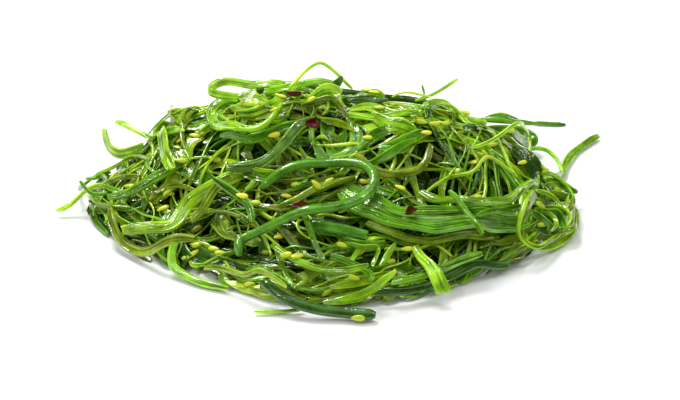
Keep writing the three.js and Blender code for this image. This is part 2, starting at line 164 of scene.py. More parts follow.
# %% Lights and surroundings
SKY_STRENGTH = 0.5
LIGHTS = {
    "softbox_overhead": dict(at=(0.05, 0.1, 0.9), size=0.8, watts=1.6),
    "light_from_behind": dict(at=(-0.25, 0.5, 0.8), size=0.32, watts=6.8),
    "light_from_the_left": dict(at=(-0.5, -0.3, 0.7), size=0.12, watts=1.3),
    "light_from_the_right": dict(at=(0.5, 0.1, 0.75), size=0.1, watts=0.8),
}
for light_name, light in LIGHTS.items():
    bpy.ops.object.light_add(type="AREA", location=light["at"])
    lamp = bpy.context.object
    lamp.name = light_name
    lamp.data.size = light["size"]
    lamp.data.energy = light["watts"]
    lamp.rotation_euler = (-Vector(light["at"])).to_track_quat("-Z", "Y").to_euler()

world = bpy.data.worlds.new("white_surroundings")
world.use_nodes = True
world.node_tree.nodes["Background"].inputs["Color"].default_value = (1, 1, 1, 1)
world.node_tree.nodes["Background"].inputs["Strength"].default_value = SKY_STRENGTH
bpy.context.scene.world = world
world.cycles_visibility.glossy = False
bpy.context.scene.view_settings.view_transform = "Standard"

# %% [markdown]
# ## What a wet strip of wakame looks like
#
# Boiled seaweed is a firm jelly in a thin skin. Light goes in, turns green and comes out a little
# further on, so it has subsurface scattering with a reach of about a millimetre and a half. Where a
# strip is thin, at its cut edges, so much light comes through that it turns lime; that glow is
# painted light, put into the colour as a lighter, yellower band along each strip's edges. Fine ribs
# run along it, about three to a millimetre. The water and oil on it are a clear coat, which makes
# small sharp highlights that break up on the ribs. Real ripples in that film are finer than a pixel
# and would only look like haze, so they are drawn about a millimetre wide.
#
# Each strip carries its own colour as an attribute, and its own map: millimetres across, millimetres
# along, and how near the edge a point is. So one material serves every strip, and the ribs follow
# each strip round every bend.

# %% The seaweed material
RIB_SPACING = 0.36
RIB_STRETCH = 0.07
RIB_DEPTH = 0.28
BLOTCH_SIZE = 4.0
FILM_RIPPLE_SIZE = 0.95
PAINTED_LIT_EDGE_GAIN = (2.0, 2.0, 1.4, 1)


def seaweed(name, scatter=0.85, ribs=1.0, shine=0.1, painted_edge_light=0.45, rib_contrast=0.6):
    """Boiled wakame with a film of dressing: translucent with painted light at its edges, ribbed
    along its length, wet.
    """
    material = new_material(name)
    tree = material.node_tree
    colour = add(tree, "Attribute", dict(attribute_name="strip_colour")).outputs["Color"]
    place = add(tree, "Attribute", dict(attribute_name="strip_map")).outputs["Vector"]
    axes = add(tree, "SeparateXYZ", Vector=place)
    along_ribs = add(tree, "Mapping", Vector=place, Scale=(1 / RIB_SPACING / 2, RIB_STRETCH, 0.0))
    rib_noise = add(tree, "TexNoise", Vector=along_ribs.outputs["Vector"], Scale=1.0, Detail=2.0)
    rib = rib_noise.outputs["Fac"]
    spot = add(tree, "TexCoord").outputs["Object"]
    blotches = add(tree, "TexNoise", Vector=spot, Scale=1 / (BLOTCH_SIZE * MM), Detail=2.0)
    film = add(tree, "TexNoise", Vector=spot, Scale=1 / (FILM_RIPPLE_SIZE * MM), Detail=1.0)
    ripple = film.outputs["Fac"]

    # Map Range turns the range from _1 to _2 into the range from _3 to _4.
    striped = add(
        tree, "MapRange", _0=rib, _1=0.32, _2=0.68, _3=1 - rib_contrast, _4=1 + 1.4 * rib_contrast
    )
    mottled = add(tree, "MapRange", _0=blotches.outputs["Fac"], _1=0.3, _2=0.7, _3=0.6, _4=1.45)
    multiply = dict(data_type="RGBA", blend_type="MULTIPLY")
    body = add(tree, "Mix", multiply, _0=1.0, _6=colour, _7=striped.outputs[0])
    body = add(tree, "Mix", multiply, _0=1.0, _6=body.outputs[2], _7=mottled.outputs[0])
    # Painted light: towards the edges the colour is brightened and yellowed, for the glow of light
    # through thin cut edges.
    near_edge = add(tree, "Math", dict(operation="POWER"), _0=axes.outputs["Z"], _1=4.0)
    edge = add(tree, "Math", dict(operation="MULTIPLY"), _0=near_edge.outputs[0], _1=painted_edge_light)
    painted_lit_edge = add(tree, "Mix", multiply, _0=1.0, _6=colour, _7=PAINTED_LIT_EDGE_GAIN)
    whole = add(
        tree, "Mix", dict(data_type="RGBA"),
        _0=edge.outputs[0], _6=body.outputs[2], _7=painted_lit_edge.outputs[2],
    )

    # The flesh and the film on it have their own bumps, so the gloss moves apart from the shade.
    rib_bump = add(tree, "Bump", Strength=ribs, Distance=RIB_DEPTH * MM, Height=rib)
    bump = add(
        tree, "Bump", Strength=0.5, Distance=0.25 * MM, Height=ripple, Normal=rib_bump.outputs[0]
    )
    wet_ribs = add(tree, "Bump", Strength=0.6 * ribs, Distance=RIB_DEPTH * MM, Height=rib)
    wet = add(
        tree, "Bump", Strength=0.6, Distance=0.3 * MM, Height=ripple, Normal=wet_ribs.outputs[0]
    )
    rough = add(tree, "MapRange", _0=ripple, _1=0.35, _2=0.65, _3=shine, _4=shine + 0.12)
    shader = add(
        tree, "BsdfPrincipled", Base_Color=whole.outputs[2], Roughness=rough.outputs[0], IOR=1.42,
        Specular_Tint=(0.9, 1.0, 0.75, 1), Subsurface_Weight=scatter,
        Subsurface_Radius=(0.8, 1.0, 0.25), Subsurface_Scale=1.6 * MM,
        Coat_Weight=1.0, Coat_Roughness=0.03, Coat_IOR=1.45,
        Normal=bump.outputs["Normal"], Coat_Normal=wet.outputs["Normal"],
    )
    add(tree, "OutputMaterial", Surface=shader.outputs["BSDF"])
    return material


wakame_flesh = seaweed("boiled_wakame_strip")
wakame_stem = seaweed(
    "boiled_wakame_stem", scatter=0.5, ribs=0.12, shine=0.08, painted_edge_light=0.0, rib_contrast=0.18
)

# %% [markdown]
# ## How a strip is shaped
#
# By hand, a strip would be a curve with a bevel profile, tilted point by point. That twists where it
# likes, and it has neither ribs nor a cut end. So each strip is lofted here: a section of the strip
# is set across its centreline every millimetre or so, and the rows of points are joined into a tube.
# The section is a flat oval that can carry ribs and curl into a channel, and it wavers along the way
# as a shredded leaf does.

# %% Small helpers
random = np.random.default_rng(11)
WAVE_LENGTHS = (1.0, 1.7, 2.9)


def drift(along, period):
    """A slow random wandering along a strip, mostly between -1 and 1."""
    phases = random.uniform(0, 2 * np.pi, 3)
    waves = [np.sin(2 * np.pi * along / (period * k) + p) for k, p in zip(WAVE_LENGTHS, phases)]
    return sum(waves) / 2


def smoothed(values, rounds):
    """Each value averaged with its neighbours, round after round."""
    for _ in range(rounds):
        padded = np.concatenate([values[:1], values, values[-1:]])
        values = (padded[:-2] + 2 * values + padded[2:]) / 4
    return values


def unit(vectors):
    """Vectors at length 1."""
    return vectors / np.maximum(np.linalg.norm(vectors, axis=-1, keepdims=True), 1e-9)


def bent(values, power):
    """Values raised to a power, with their sign kept."""
    return np.sign(values) * np.abs(values) ** power


# %% The loft
TABLE_GAP = 0.02
ROLL_PERIOD, WIDTH_PERIOD, CURL_PERIOD = 40, 12, 30
CLUB_LENGTH = 3
END_ROUNDNESS, EDGE_ROUNDNESS = 0.7, 0.8
MAP_OFFSETS = 500


def loft(line, across, width, thickness, colour, form):
    """The shell of one strip, in millimetres: its points, faces, map and colours."""
    steps = np.linalg.norm(np.diff(line, axis=0), axis=1)
    along = np.concatenate([[0], np.cumsum(steps)])
    length = along[-1]
    ahead = unit(np.gradient(line, axis=0))
    across = unit(across - ahead * (across * ahead).sum(1, keepdims=True))
    up = np.cross(ahead, across)
    to_front = np.clip(2 * across[:, 1], -1, 1)
    roll = form["roll"] * drift(along, ROLL_PERIOD) + form["facing"] * to_front
    across, up = (
        across * np.cos(roll)[:, None] + up * np.sin(roll)[:, None],
        up * np.cos(roll)[:, None] - across * np.sin(roll)[:, None],
    )
    from_end = np.minimum(along, length - along)
    taper_length = max(1.0, form["taper"] * np.max(width))
    near = 1 - np.clip(from_end / taper_length, 0, 1) ** END_ROUNDNESS
    half_width = width / 2 * (1 + form["uneven"] * drift(along, WIDTH_PERIOD))
    half_width = half_width * (1 - (1 - form["ends"]) * near)
    half_width = half_width * (1 + form["club"] * np.exp(-((along / CLUB_LENGTH) ** 2)))
    half_width = half_width * (1 + form["flare"] * (along / length - 0.5))
    half_thickness = thickness / 2 * (1 - (1 - form["end_thickness"]) * near)

    turn = np.linspace(0, 2 * np.pi, form["corners"], endpoint=False)
    u = bent(np.cos(turn), form["square"])
    v = bent(np.sin(turn), EDGE_ROUNDNESS)
    if form["ribs"]:
        v = v * (1 + form["rib_height"] * np.cos(form["ribs"] * np.pi * u))
    curl = form["curl"] * (0.6 + 0.6 * drift(along, CURL_PERIOD)) * half_width
    ruffle = form["ruffle"] * drift(along, form["ruffle_period"])
    fall = form["ruffle"] * drift(along, form["ruffle_period"] * 1.3)
    rise = curl[:, None] * (u**2 - 0.4) + ruffle[:, None] * u * np.abs(u) + fall[:, None] * u**2
    rise = rise + form["pleat_depth"] * np.cos(form["pleats"] * np.pi * u)
    cut = random.uniform(-1, 1, 2) * form["slant"]
    to_start = 1 - np.clip(along / taper_length, 0, 1)
    to_end = 1 - np.clip((length - along) / taper_length, 0, 1)
    slant = cut[0] * to_start - cut[1] * to_end
    points = (
        line[:, None]
        + across[:, None] * (u * half_width[:, None])[..., None]
        + up[:, None] * (v * half_thickness[:, None] + rise)[..., None]
        + ahead[:, None] * (u * (half_width * slant)[:, None])[..., None]
    )
    lift = np.clip(TABLE_GAP - points[..., 2].min(1), 0, None)
    points[..., 2] += smoothed(lift, 4)[:, None]
    points[..., 2] = np.maximum(points[..., 2], TABLE_GAP)
    n, m = points.shape[:2]
    corner = np.arange(m)
    following = (corner + 1) % m
    first_row = np.stack([corner, following, m + following, m + corner], -1)
    quads = (np.arange(n - 1)[:, None, None] * m + first_row).reshape(-1, 4)
    caps = [list(corner[::-1]), list(corner + (n - 1) * m)]
    mapped = np.empty((n, m, 3))
    mapped[..., 0] = u * half_width[:, None]
    mapped[..., 1] = along[:, None] + random.uniform(0, MAP_OFFSETS)
    mapped[..., 2] = np.abs(u)
    tint = np.broadcast_to(np.asarray(colour), (n, m, 4))
    return points.reshape(-1, 3), quads, caps, mapped.reshape(-1, 3), tint.reshape(-1, 4)


# %% Make an object of some shells
SMOOTH_BELOW = math.radians(50)
ATTRIBUTES = (("strip_map", "FLOAT_VECTOR", "vector", 3), ("strip_colour", "FLOAT_COLOR", "color", 4))


def piece_from(name, shells, material):
    """One object from the shells of one or many strips."""
    points = np.concatenate([shell[0] for shell in shells]) * MM
    starts = np.cumsum([0] + [len(shell[0]) for shell in shells])
    faces = []
    for start, (_, quads, caps, _, _) in zip(starts, shells):
        faces += (quads + start).tolist()
        faces += [[corner + start for corner in cap] for cap in caps]
    mesh = bpy.data.meshes.new(name)
    mesh.from_pydata(points.tolist(), [], faces)
    for title, kind, key, column in ATTRIBUTES:
        values = np.concatenate([shell[column] for shell in shells]).astype(np.float32)
        mesh.attributes.new(title, kind, "POINT").data.foreach_set(key, values.ravel())
    mesh.materials.append(material)
    piece = bpy.data.objects.new(name, mesh)
    bpy.context.scene.collection.objects.link(piece)
    bpy.ops.object.select_all(action="DESELECT")
    piece.select_set(True)
    bpy.context.view_layer.objects.active = piece
    bpy.ops.object.shade_smooth_by_angle(angle=SMOOTH_BELOW)
    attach(piece, "root")
    return piece


# %% [markdown]
# ## The strips that can be told apart
#
# Each of these has a solid in the frame: a loft of a few coarse rings. The fine strip has to lie
# exactly where that solid lies, so its route isn't written again here. It is read from the solid's
# own corners: starting from a cut end, the corners that are one edge further on are the next ring,
# and so on to the other end. A smooth curve through the middles of the rings is the centreline.

# %% Read the rings of a strip's solid
TOUCHING = 1e-6
RING_SIZES = (4, 6)


def merged(node):
    """A copy of a node's mesh with its loose triangles joined. The node itself stays as it is."""
    copy = bmesh.new()
    copy.from_mesh(frame["nodes"][node].data)
    bmesh.ops.remove_doubles(copy, verts=copy.verts, dist=TOUCHING)
    return copy


def faces_round(corner):
    """The faces round a corner, in order."""
    first = loop = corner.link_loops[0]
    faces = []
    while True:
        faces.append(loop.face)
        loop = loop.link_loop_prev.link_loop_radial_next
        if loop is first:
            return faces


def layers_from(start, total):
    """The corners of a solid in layers, each one edge further from the start, if all are as many."""
    layers = [start]
    seen = set(start)
    while len(seen) < total:
        further = {edge.other_vert(corner) for corner in layers[-1] for edge in corner.link_edges}
        further -= seen
        if len(further) != len(start):
            return None
        layers.append(further)
        seen |= further
    return layers


def rings_of(node):
    """The rings of a strip's solid as arrays of corners in millimetres, from one end to the other."""
    solid = merged(node)
    for size in RING_SIZES:
        for corner in solid.verts:
            faces = faces_round(corner)
            for first in range(len(faces)):
                fan = [faces[(first + k) % len(faces)] for k in range(size - 2)]
                start = {vertex for face in fan for vertex in face.verts}
                if len(start) != size:
                    continue
                layers = layers_from(start, len(solid.verts))
                if layers and len(layers) > 3:
                    return [np.array([vertex.co / MM for vertex in layer]) for layer in layers]
    raise ValueError(node + " isn't a loft of equal rings")


# %% Read how wide and thick the strip is at each ring
def ring_frame(ring, ahead, across_before):
    """A ring's middle, the way across it, and half its width and thickness."""
    middle = ring.mean(0)
    side = unit(np.cross(ahead, (0.0, 0.0, 1.0)))
    lifted = np.cross(side, ahead)
    offsets = ring - middle
    order = np.argsort(np.arctan2(offsets @ lifted, offsets @ side))
    offsets = offsets[order]
    # Across a ring of four runs one of its sides, and across one of six the line between edges.
    half = len(ring) // 2
    if half == 2:
        choices = [offsets[(k + 1) % 4] - offsets[k] for k in range(4)]
    else:
        choices = [offsets[k] - offsets[(k + half) % len(ring)] for k in range(len(ring))]
    if across_before is None:
        across = max(choices, key=np.linalg.norm)
    else:
        across = max(choices, key=lambda c: unit(c) @ across_before)
    up = np.cross(ahead, unit(across))
    return middle, across, np.abs(offsets @ up).max()


def strip_frames(node):
    """The middle, the way across, and the width and thickness at each ring of a strip's solid."""
    rings = rings_of(node)
    middles = np.array([ring.mean(0) for ring in rings])
    ahead = unit(np.gradient(middles, axis=0))
    start = len(rings) // 2
    found = {start: ring_frame(rings[start], ahead[start], None)}
    for order in (range(start + 1, len(rings)), range(start - 1, -1, -1)):
        before = found[start]
        for i in order:
            before = found[i] = ring_frame(rings[i], ahead[i], unit(before[1]))
    across = np.array([found[i][1] for i in range(len(rings))])
    if np.cross(ahead, across)[:, 2].mean() < 0:
        across = -across
    thickness = 2 * np.array([found[i][2] for i in range(len(rings))])
    return middles, unit(across), np.linalg.norm(across, axis=1), thickness


# %% A smooth curve with evenly spaced points
FINE_STEP = 0.7
FEWEST_STEPS = 6


def curve_through(values, spacing):
    """Points every so often on a smooth curve through the given ones, and their places on it."""
    steps = np.linalg.norm(np.diff(values, axis=0), axis=1)
    knots = np.concatenate([[0], np.cumsum(steps)])
    slopes = np.gradient(values, knots, axis=0)
    count = max(FEWEST_STEPS, int(knots[-1] / spacing))
    at = np.linspace(0, knots[-1], count + 1)
    k = np.clip(np.searchsorted(knots, at, side="right") - 1, 0, len(steps) - 1)
    t = ((at - knots[k]) / steps[k])[:, None]
    gap = steps[k][:, None]
    points = (
        (2 * t**3 - 3 * t**2 + 1) * values[k]
        + (t**3 - 2 * t**2 + t) * gap * slopes[k]
        + (3 * t**2 - 2 * t**3) * values[k + 1]
        + (t**3 - t**2) * gap * slopes[k + 1]
    )
    return points, at, knots


def spread(values, knots, at):
    """Values at the knots of a strip, carried over to finer places along it."""
    if values.ndim == 1:
        return np.interp(at, knots, values)
    return np.column_stack([np.interp(at, knots, column) for column in values.T])


# %% [markdown]
# Stems are round and smooth. Straps are flat and ribbed where they were torn along the midrib,
# blades are bits of the thin leaf, with wavy edges and ends that run to a point, and bands, strands
# and threads are what a shredder leaves. A form gives a section's corners, ribs, pleats and curl,
# how the ends are cut, and how far the strip rolls or turns its flat side to the front.

# %% How each kind of strip is formed
PLAIN = dict(
    corners=16, square=0.6, ribs=0, rib_height=0.0, pleats=0, pleat_depth=0.0, curl=0.15,
    ruffle=0.12, ruffle_period=9.0, uneven=0.06, ends=0.65, end_thickness=0.6, taper=1.4, slant=0.6,
    roll=0.12, facing=0.0, club=0.0, flare=0.0,
)
FORMS = {
    "stem": dict(
        PLAIN, square=0.95, curl=0.0, ruffle=0.03, uneven=0.04, ends=0.5, end_thickness=0.5,
        taper=0.5, slant=0.1, roll=0.0,
    ),
    "strap": dict(PLAIN, corners=28, ribs=5, rib_height=0.16, curl=0.2),
    "blade": dict(PLAIN, corners=18, curl=0.35, ruffle=0.25, uneven=0.1, ends=0.35, taper=2.2),
    "band": dict(PLAIN, corners=24, ribs=3, rib_height=0.2, curl=0.2, ruffle=0.15),
    "strand": dict(PLAIN, corners=14, curl=0.25, ruffle=0.15, ends=0.6),
    "thread": dict(PLAIN, corners=10, square=0.8, curl=0.0, ruffle=0.06, ends=0.55),
    "leaf": dict(
        PLAIN, corners=16, curl=0.4, ruffle=0.5, ruffle_period=7.0, uneven=0.15, ends=0.3, taper=1.6
    ),
}
FACING = 0.45
FORM_OF_STRIP = {
    "curled_stem": dict(club=0.3),
    "short_bright_stem": dict(ends=0.93, end_thickness=0.9, taper=0.2),
    "broad_ribbed_band": dict(
        corners=160, pleats=11, pleat_depth=0.28, ribs=0, curl=0.15, facing=0.1
    ),
    "u_shaped_band": dict(facing=0.7),
    "left_raised_ribbon": dict(facing=1.3, ruffle=0.3),
    "left_raised_stick": dict(facing=1.0),
    "crown_top_loop": dict(facing=1.15),
    "crown_coil": dict(facing=0.7),
    **dict.fromkeys(("back_right_fold", "right_stray_strip", "back_right_stick"), dict(facing=0.9)),
    **dict.fromkeys(("left_hanging_leaf", "ribbed_strap"), dict(facing=0.25)),
    "front_flat_strip": dict(facing=0.25, flare=0.7, ends=0.9),
}
print("forms:", len(FORMS))

# %% The colour of each strip
BRIGHT = "#84ae1c"
GREEN = "#5a8a18"
DARK = "#375c1a"
OLIVE = "#738a1e"
# LIME is partly a lighter tone of the seaweed and partly painted light, the glow of thin strips lit
# from behind.
LIME = "#9ac934"
STEM_GREEN = "#549322"
TONES = dict(bright=BRIGHT, green=GREEN, dark=DARK, olive=OLIVE, lime=LIME)
COLOUR_OF_KIND = {
    "stem": STEM_GREEN, "strap": BRIGHT, "blade": GREEN, "band": OLIVE, "strand": BRIGHT,
    "thread": LIME,
}
STRIPS_OF_COLOUR = {
    # These strips are lime partly in their own tone and partly as painted light, for thin strips lit
    # from behind.
    LIME: (
        "left_stray_stick", "front_left_curl", "back_curl", "front_flat_strip",
        "left_raised_ribbon", "left_raised_stick", "crown_top_loop", "right_top_strip",
    ),
    DARK: ("front_stem", "front_dark_band", "back_dark_stem", "crown_dark_blade"),
    GREEN: (
        "back_right_stick", "front_green_band", "right_short_strip", "front_folded_strip",
        "front_hanging_strand", "left_diagonal_band", "left_bent_strip", "left_thin_loop",
    ),
    OLIVE: ("front_left_strand", "right_clear_sheet", "left_tongue"),
    BRIGHT: ("front_low_leaf", "front_cross_strip", "front_short_leaf", "crown_right_blade"),
    "#6a8c1a": ("right_hook",),
    "#5d8a24": ("broad_ribbed_band",),
    "#5f8a30": ("ribbed_strap",),
}
colour_of_strip = {node: colour for colour, nodes in STRIPS_OF_COLOUR.items() for node in nodes}
print("strips with their own colour:", len(colour_of_strip))

# %% [markdown]
# ## How a strip is laid
#
# A real strip lies on what was there before it. A cloth simulation could let hundreds fall, but
# slowly. So the heap is kept as a grid of heights, and each strip is let down on it: it stays above
# the grid under its whole width, tilts with it, and sags a little between what holds it up. The
# frame's own tangle is read into a second grid, which says how high the heap may grow.

# %% The tangle's height at every half millimetre
CELL = 0.5
ABOVE_ALL = 0.1
solid_tangle = merged("strip_tangle")
tangle_tree = BVHTree.FromBMesh(solid_tangle)
solid_tangle.free()
grid_x = np.arange(cad_low.x / MM, cad_high.x / MM + CELL, CELL)
grid_y = np.arange(cad_low.y / MM, cad_high.y / MM + CELL, CELL)
ceiling = np.zeros((len(grid_y), len(grid_x)))
for row, y in enumerate(grid_y):
    for column, x in enumerate(grid_x):
        top = tangle_tree.ray_cast(Vector((x * MM, y * MM, ABOVE_ALL)), Vector((0, 0, -1)))[0]
        ceiling[row, column] = top.z / MM if top else 0.0
heights = np.zeros_like(ceiling)
print("tangle, mm high:", ceiling.max().round(1), "mm2:", int((ceiling > 0).sum() * CELL**2))


def cells(points):
    """The grid rows and columns under some points."""
    rows = np.clip(np.rint((points[..., 1] - grid_y[0]) / CELL).astype(int), 0, len(grid_y) - 1)
    columns = np.clip(np.rint((points[..., 0] - grid_x[0]) / CELL).astype(int), 0, len(grid_x) - 1)
    return rows, columns


def eased(values, rounds):
    """Smoothed, with both ends left where they are."""
    for _ in range(rounds):
        middle = (values[:-2] + 2 * values[1:-1] + values[2:]) / 4
        values = np.concatenate([values[:1], middle, values[-1:]])
    return values


# %% Let a strip down
SAG = 0.02
STEEPEST = 1.2
TILT_ROUNDS, SETTLING_ROUNDS = 16, 120
BEDDING = 0.35


def drape(path, width, thickness, press, arch=0.0):
    """Lets a strip down along a path until it lies on all that is there already."""
    ahead = unit(np.gradient(path, axis=0))
    side = np.column_stack([-ahead[:, 1], ahead[:, 0]])
    shares = np.array([-1.0, -0.5, 0.0, 0.5, 1.0])
    reach = shares * width / 2
    under = heights[cells(path[:, None] + side[:, None] * reach[None, :, None])]
    slope = smoothed((under[:, -1] - under[:, 0]) / width, TILT_ROUNDS)
    slope = np.clip(slope, -STEEPEST, STEEPEST)
    floor_height = (under - reach * slope[:, None]).max(1) + thickness / 2 - press
    floor_height = np.maximum(floor_height, thickness / 2 + np.abs(slope) * width / 2)
    z = smoothed(floor_height, 2)
    for _ in range(SETTLING_ROUNDS):
        z[1:-1] = np.maximum(floor_height[1:-1], (z[:-2] + z[2:]) / 2 - SAG)
    z = smoothed(z, 5) + arch * np.sin(np.linspace(0, np.pi, len(z))) ** 2
    return np.column_stack([path, z]), unit(np.column_stack([side, slope]))


def heap_up(line, across, width, thickness):
    """Raises the grid to nearly the top of a strip, so that the next one beds into it a little."""
    fine, at, knots = curve_through(line, CELL / 2)
    over = spread(across, knots, at)
    reach = np.arange(-width / 2, width / 2 + 0.01, CELL / 2)
    spots = fine[:, None] + over[:, None] * reach[None, :, None]
    np.maximum.at(heights, cells(spots), spots[..., 2] + BEDDING * thickness)


def settled(line, across, width, thickness, spacing, colour, form):
    """The shell of a strip that lies where it is to stay. The grid is raised by it."""
    heap_up(line, across, width, thickness)
    fine, at, knots = curve_through(line, spacing)
    return loft(fine, spread(across, knots, at), width, thickness, colour, form)


# %% [markdown]
# ## The tangle
#
# The nameless strips are laid one after another, from the table up, as they would fall. Each starts
# where the heap is lowest against the frame's own tangle, wanders round the heap, and is let down
# until it rests on what is there. Laying stops when the heap is as high as the frame says. The dark
# gaps between strips come partly by themselves and partly from painted shade: strips inside the heap
# and in its hollows are given darker colours.

# %% How far the heap reaches
SECTORS = 72
RIM_HEIGHT = 1.5
heaped = ceiling > RIM_HEIGHT
squared = grid_x[None, :] ** 2 + grid_y[:, None] ** 2
angles = np.arctan2(grid_y[:, None], grid_x[None, :])
sector = ((angles + np.pi) / (2 * np.pi) * SECTORS).astype(int) % SECTORS
edge_radius = np.array([np.sqrt(squared[(sector == s) & heaped].max()) for s in range(SECTORS)])
edge_radius = (np.roll(edge_radius, 1) + edge_radius + np.roll(edge_radius, -1)) / 3
print("the heap reaches, mm:", edge_radius.min().round(1), "to", edge_radius.max().round(1))


def edge_at(angle):
    """How far the heap's footprint reaches at some angles."""
    place = (angle + np.pi) / (2 * np.pi) * SECTORS - 0.5
    all_round = np.concatenate([edge_radius[-1:], edge_radius, edge_radius[:1]])
    return np.interp(place, np.arange(-1, SECTORS + 1), all_round)


def kept_inside(path, margin):
    """Pulls a path in where it would leave the heap's footprint."""
    limit = edge_at(np.arctan2(path[:, 1], path[:, 0])) - margin
    distance = np.linalg.norm(path, axis=1)
    return path * np.minimum(1, limit / np.maximum(distance, 1e-6))[:, None]


# %% Paths that wander
STEP = 1.0
EDGE_MARGIN = 0.5
ROUND_THE_HEAP = 0.25
RIM_STARTS = 0.6
EVEN_BEND, SLOW_WAVER, QUICK_WAVER = 0.035, 0.1, 0.06
CURLED_SHARE = 0.6
CURL_TURN, CURL_LENGTH = (0.12, 0.32), (7, 15)
MOST_PULLED_IN = 2.5


def wander(start, length):
    """A path through a point, mostly from side to side, with bends and often with a curled end."""
    count = max(8, int(length / STEP))
    along = np.arange(count) * STEP
    heading = random.normal(0, 0.6)
    outward = math.atan2(start[1], start[0])
    reach = math.hypot(*start) / edge_at(np.array([outward]))[0]
    at_rim = np.clip((reach - RIM_STARTS) * 4, 0, 1)
    if random.random() < ROUND_THE_HEAP + (1 - ROUND_THE_HEAP) * at_rim:
        heading = outward + math.pi / 2 + random.normal(0, 0.25)
    turn = random.normal(0, EVEN_BEND) + SLOW_WAVER * drift(along, 14) + QUICK_WAVER * drift(along, 7)
    if random.random() < CURLED_SHARE:
        tightness = random.uniform(*CURL_TURN) * random.choice((-1, 1))
        to_end = (along[-1] - along) / random.uniform(*CURL_LENGTH)
        turn = turn + tightness * np.clip(1 - to_end, 0, 1)
    if random.random() < 0.5:
        turn = turn[::-1]
    headings = heading + np.cumsum(turn) - turn[: count // 2].sum()
    path = np.cumsum(np.column_stack([np.cos(headings), np.sin(headings)]) * STEP, axis=0)
    path += start - path[count // 2]
    outside = np.linalg.norm(path, axis=1) - edge_at(np.arctan2(path[:, 1], path[:, 0]))
    left = np.flatnonzero(outside > MOST_PULLED_IN)
    first = left[left < count // 2].max(initial=-1) + 1
    last = left[left > count // 2].min(initial=count)
    return smoothed(kept_inside(path[first:last], EDGE_MARGIN), 3)


# %% Kinds and colours of the nameless strips
PALETTE = (DARK, GREEN, BRIGHT, OLIVE, LIME)
PALETTE_SHARES = (0.14, 0.26, 0.27, 0.25, 0.08)
FILLER_KINDS = (
    ("strap", 2.1, 0.7), ("band", 1.6, 0.7), ("strand", 1.2, 0.7), ("blade", 2.6, 0.5),
    ("thread", 0.65, 0.5), ("leaf", 4.2, 0.45),
)
KIND_SHARES = (0.21, 0.21, 0.22, 0.11, 0.15, 0.10)


def shade(hex_colour, spread_of_light=0.18):
    """A strip's own colour: its kind's colour, a little lighter, darker or yellower."""
    base = np.array(linear(hex_colour))
    base[:3] *= np.exp(random.normal(0, spread_of_light))
    base[0] *= np.exp(random.normal(0, 0.06))
    return np.clip(base, 0, 1)


def random_strip():
    """The kind of a nameless strip, its size and its colour."""
    kind, width, thickness = FILLER_KINDS[random.choice(len(FILLER_KINDS), p=KIND_SHARES)]
    colour = shade(PALETTE[random.choice(len(PALETTE), p=PALETTE_SHARES)])
    return kind, width * random.uniform(0.75, 1.3), thickness * random.uniform(0.85, 1.2), colour


def coarse_form(kind, corners):
    """A kind's form with fewer corners, no ribs and more roll, for what lies among many others."""
    form = dict(FORMS[kind], corners=corners, ribs=0, roll=0.6)
    return dict(form, uneven=0.08 + form["uneven"], ruffle=1.5 * form["ruffle"])


# %% Lay a bundle of strips
TRIES = 5
LEAST_ROOM = 0.3
LEAST_ROOM_ALONG = 0.1
SHORTEST = 12
CRAMPED = 0.4
SIDE_BY_SIDE = 0.95
MOST_ABOVE = 1.3
BRIDGING_SHARE = 0.12
PAINTED_HOLLOW_SHADE = 4.5


def room_along(path, limit):
    """How far the heap still is below where it should reach, along a path."""
    return np.mean(limit[cells(path)] - heights[cells(path)])


def cramped(path):
    """Whether pulling a path in has squeezed its points together, as a fold would."""
    return np.linalg.norm(np.diff(path, axis=0), axis=1).min() < CRAMPED


def lay_bundle(length, strips, limit, press, spacing, corners, arch=0.0, light=1.0):
    """Lays a few strips side by side, as they were torn from one leaf. Gives their shells."""
    room = np.where(heaped, limit - heights, 0).clip(0)
    weight = (room - LEAST_ROOM).clip(0).ravel() ** 2
    if weight.sum() < 1:
        return None
    row, column = divmod(int(random.choice(weight.size, p=weight / weight.sum())), len(grid_x))
    start = np.array([grid_x[column], grid_y[row]])
    paths = [wander(start, length) for _ in range(TRIES)]
    centre = max(paths, key=lambda path: room_along(path, limit))
    if room_along(centre, limit) < LEAST_ROOM_ALONG or len(centre) < SHORTEST:
        return []
    kind, width, thickness, colour = random_strip()
    ahead = unit(np.gradient(centre, axis=0))
    side = np.column_stack([-ahead[:, 1], ahead[:, 0]])
    parting = 1 + 0.6 * drift(np.arange(len(centre)) * STEP, 30)
    shells = []
    for k in range(strips):
        offset = (k - (strips - 1) / 2) * width * SIDE_BY_SIDE
        own = centre + side * (offset * parting)[:, None]
        low, high = random.integers(0, len(own) // 5 + 1, 2)
        own = smoothed(kept_inside(own, EDGE_MARGIN)[low:len(own) - high], 2)
        if cramped(own):
            continue
        own_width = width * random.uniform(0.7, 1.25)
        line, across = drape(own, own_width, thickness, press, arch)
        above = np.percentile(line[:, 2] - limit[cells(line)], 80)
        if above > MOST_ABOVE + arch / 2 and random.random() > BRIDGING_SHARE:
            continue
        # Painted shade: a strip that lies in a hollow is darkened by the hollow's depth.
        hollow_depth_for_painted_shade = np.mean((ceiling - limit_of_heap)[cells(own)])
        # light is painted shade: a factor below 1 darkens the inside strips.
        own_colour = colour * light * np.exp(random.normal(0, 0.15) - hollow_depth_for_painted_shade / PAINTED_HOLLOW_SHADE)
        own_colour[3] = 1
        form = coarse_form(kind, corners)
        shells.append(settled(line, across, own_width, thickness, spacing, own_colour, form))
    return shells
